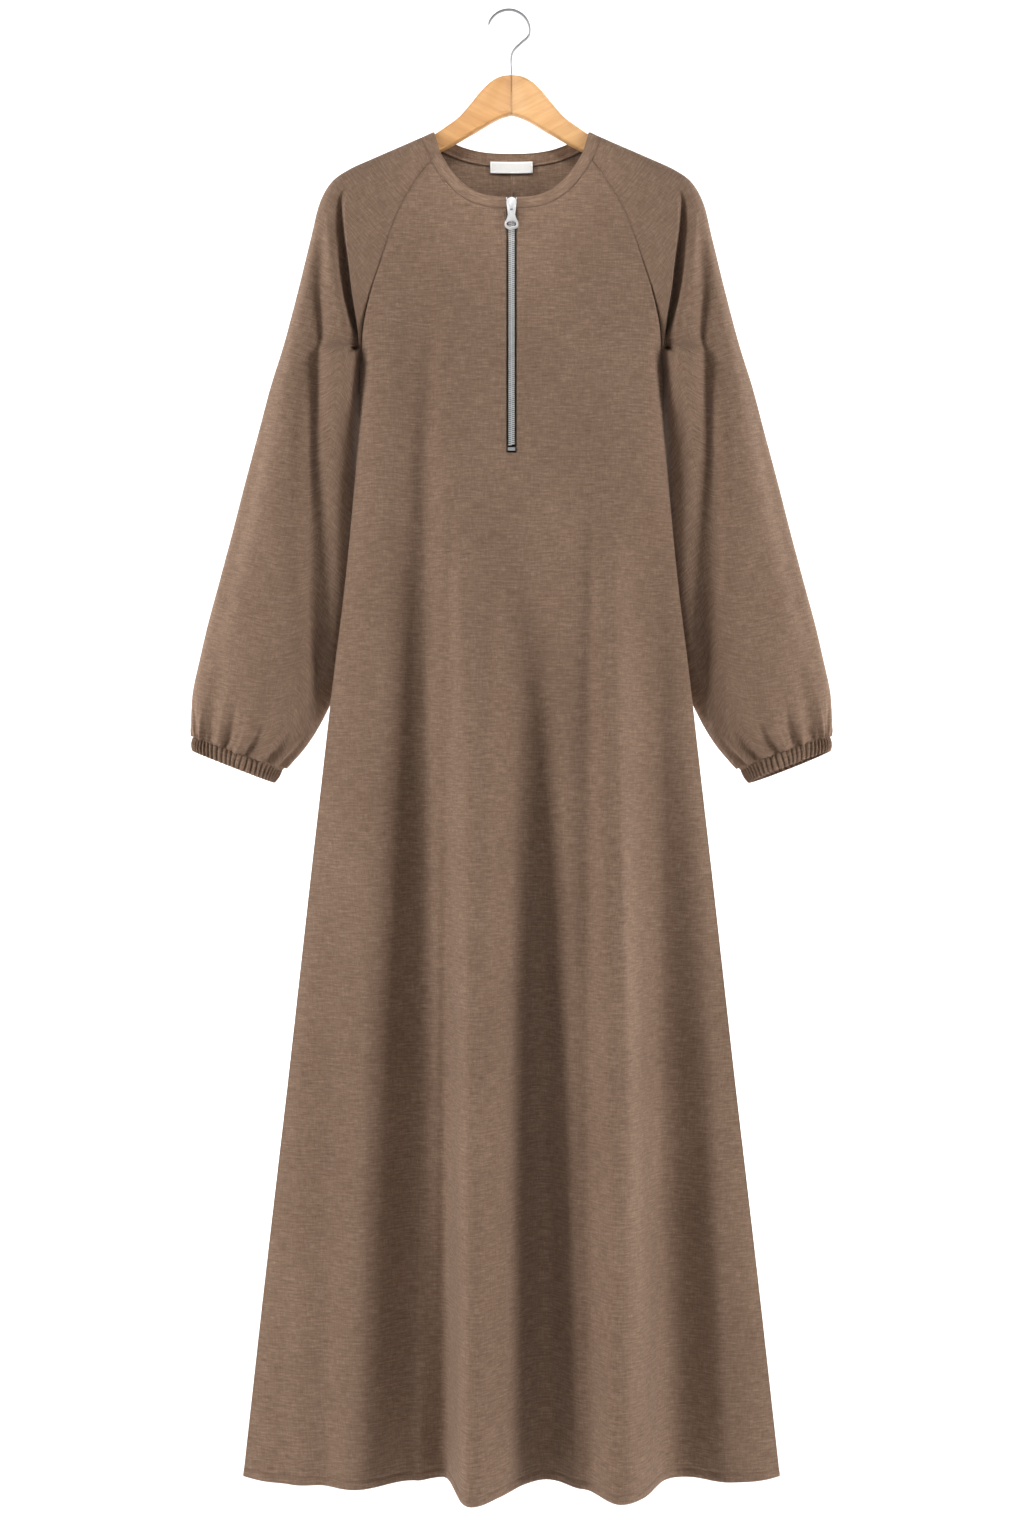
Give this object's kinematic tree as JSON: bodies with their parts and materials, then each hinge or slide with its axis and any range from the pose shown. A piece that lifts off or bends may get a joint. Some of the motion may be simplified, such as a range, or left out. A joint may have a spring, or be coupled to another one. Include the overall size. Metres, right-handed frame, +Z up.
{
  "type": "long abaya on a wooden clothes hanger",
  "caption": "Long A-line abaya with raglan sleeves, a half-front zip and elastic gathered cuffs, hanging on a wooden clothes hanger with a wire hook.",
  "frame": {"origin": "inside top of the hanger's hook, where a rod carries it", "axes": "+Z up, -Y out of the garment's front, +X to the right in the front view"},
  "size_m": [0.6824, 0.1508, 1.5463],
  "materials": {
    "cloth": "fine brown heathered plain weave, matt",
    "label": "white satin ribbon, bare",
    "zip_tape": "woven tape, matt",
    "zip_metal": "bright nickel plate",
    "wood": "pale wood, clear satin varnish",
    "hook_wire": "bright plated wire"
  },
  "bodies": {
    "garment": {"front": "cloth", "back_right": "cloth", "back_left": "cloth", "sleeve_right": "cloth", "sleeve_left": "cloth", "cuff_right": "cloth", "cuff_left": "cloth", "neckband": "cloth", "label": "label", "zip_tape_right": "zip_tape", "zip_tape_left": "zip_tape", "zip_chain": "zip_metal", "zip_slider": "zip_metal", "zip_stop_right": "zip_metal", "zip_stop_left": "zip_metal", "zip_stop_bottom": "zip_metal", "hanger_left": "wood", "hanger_right": "wood", "hook": "hook_wire"},
    "pull_tab": {"pull_tab": "zip_metal"}
  },
  "joints": [
    {"name": "pull_tab_hinge", "type": "hinge", "parent": "garment", "child": "pull_tab", "pos_m": [0, -0.0261, -0.2089], "axis": [-1, 0, 0], "range_deg": [0, 160]}
  ]
}
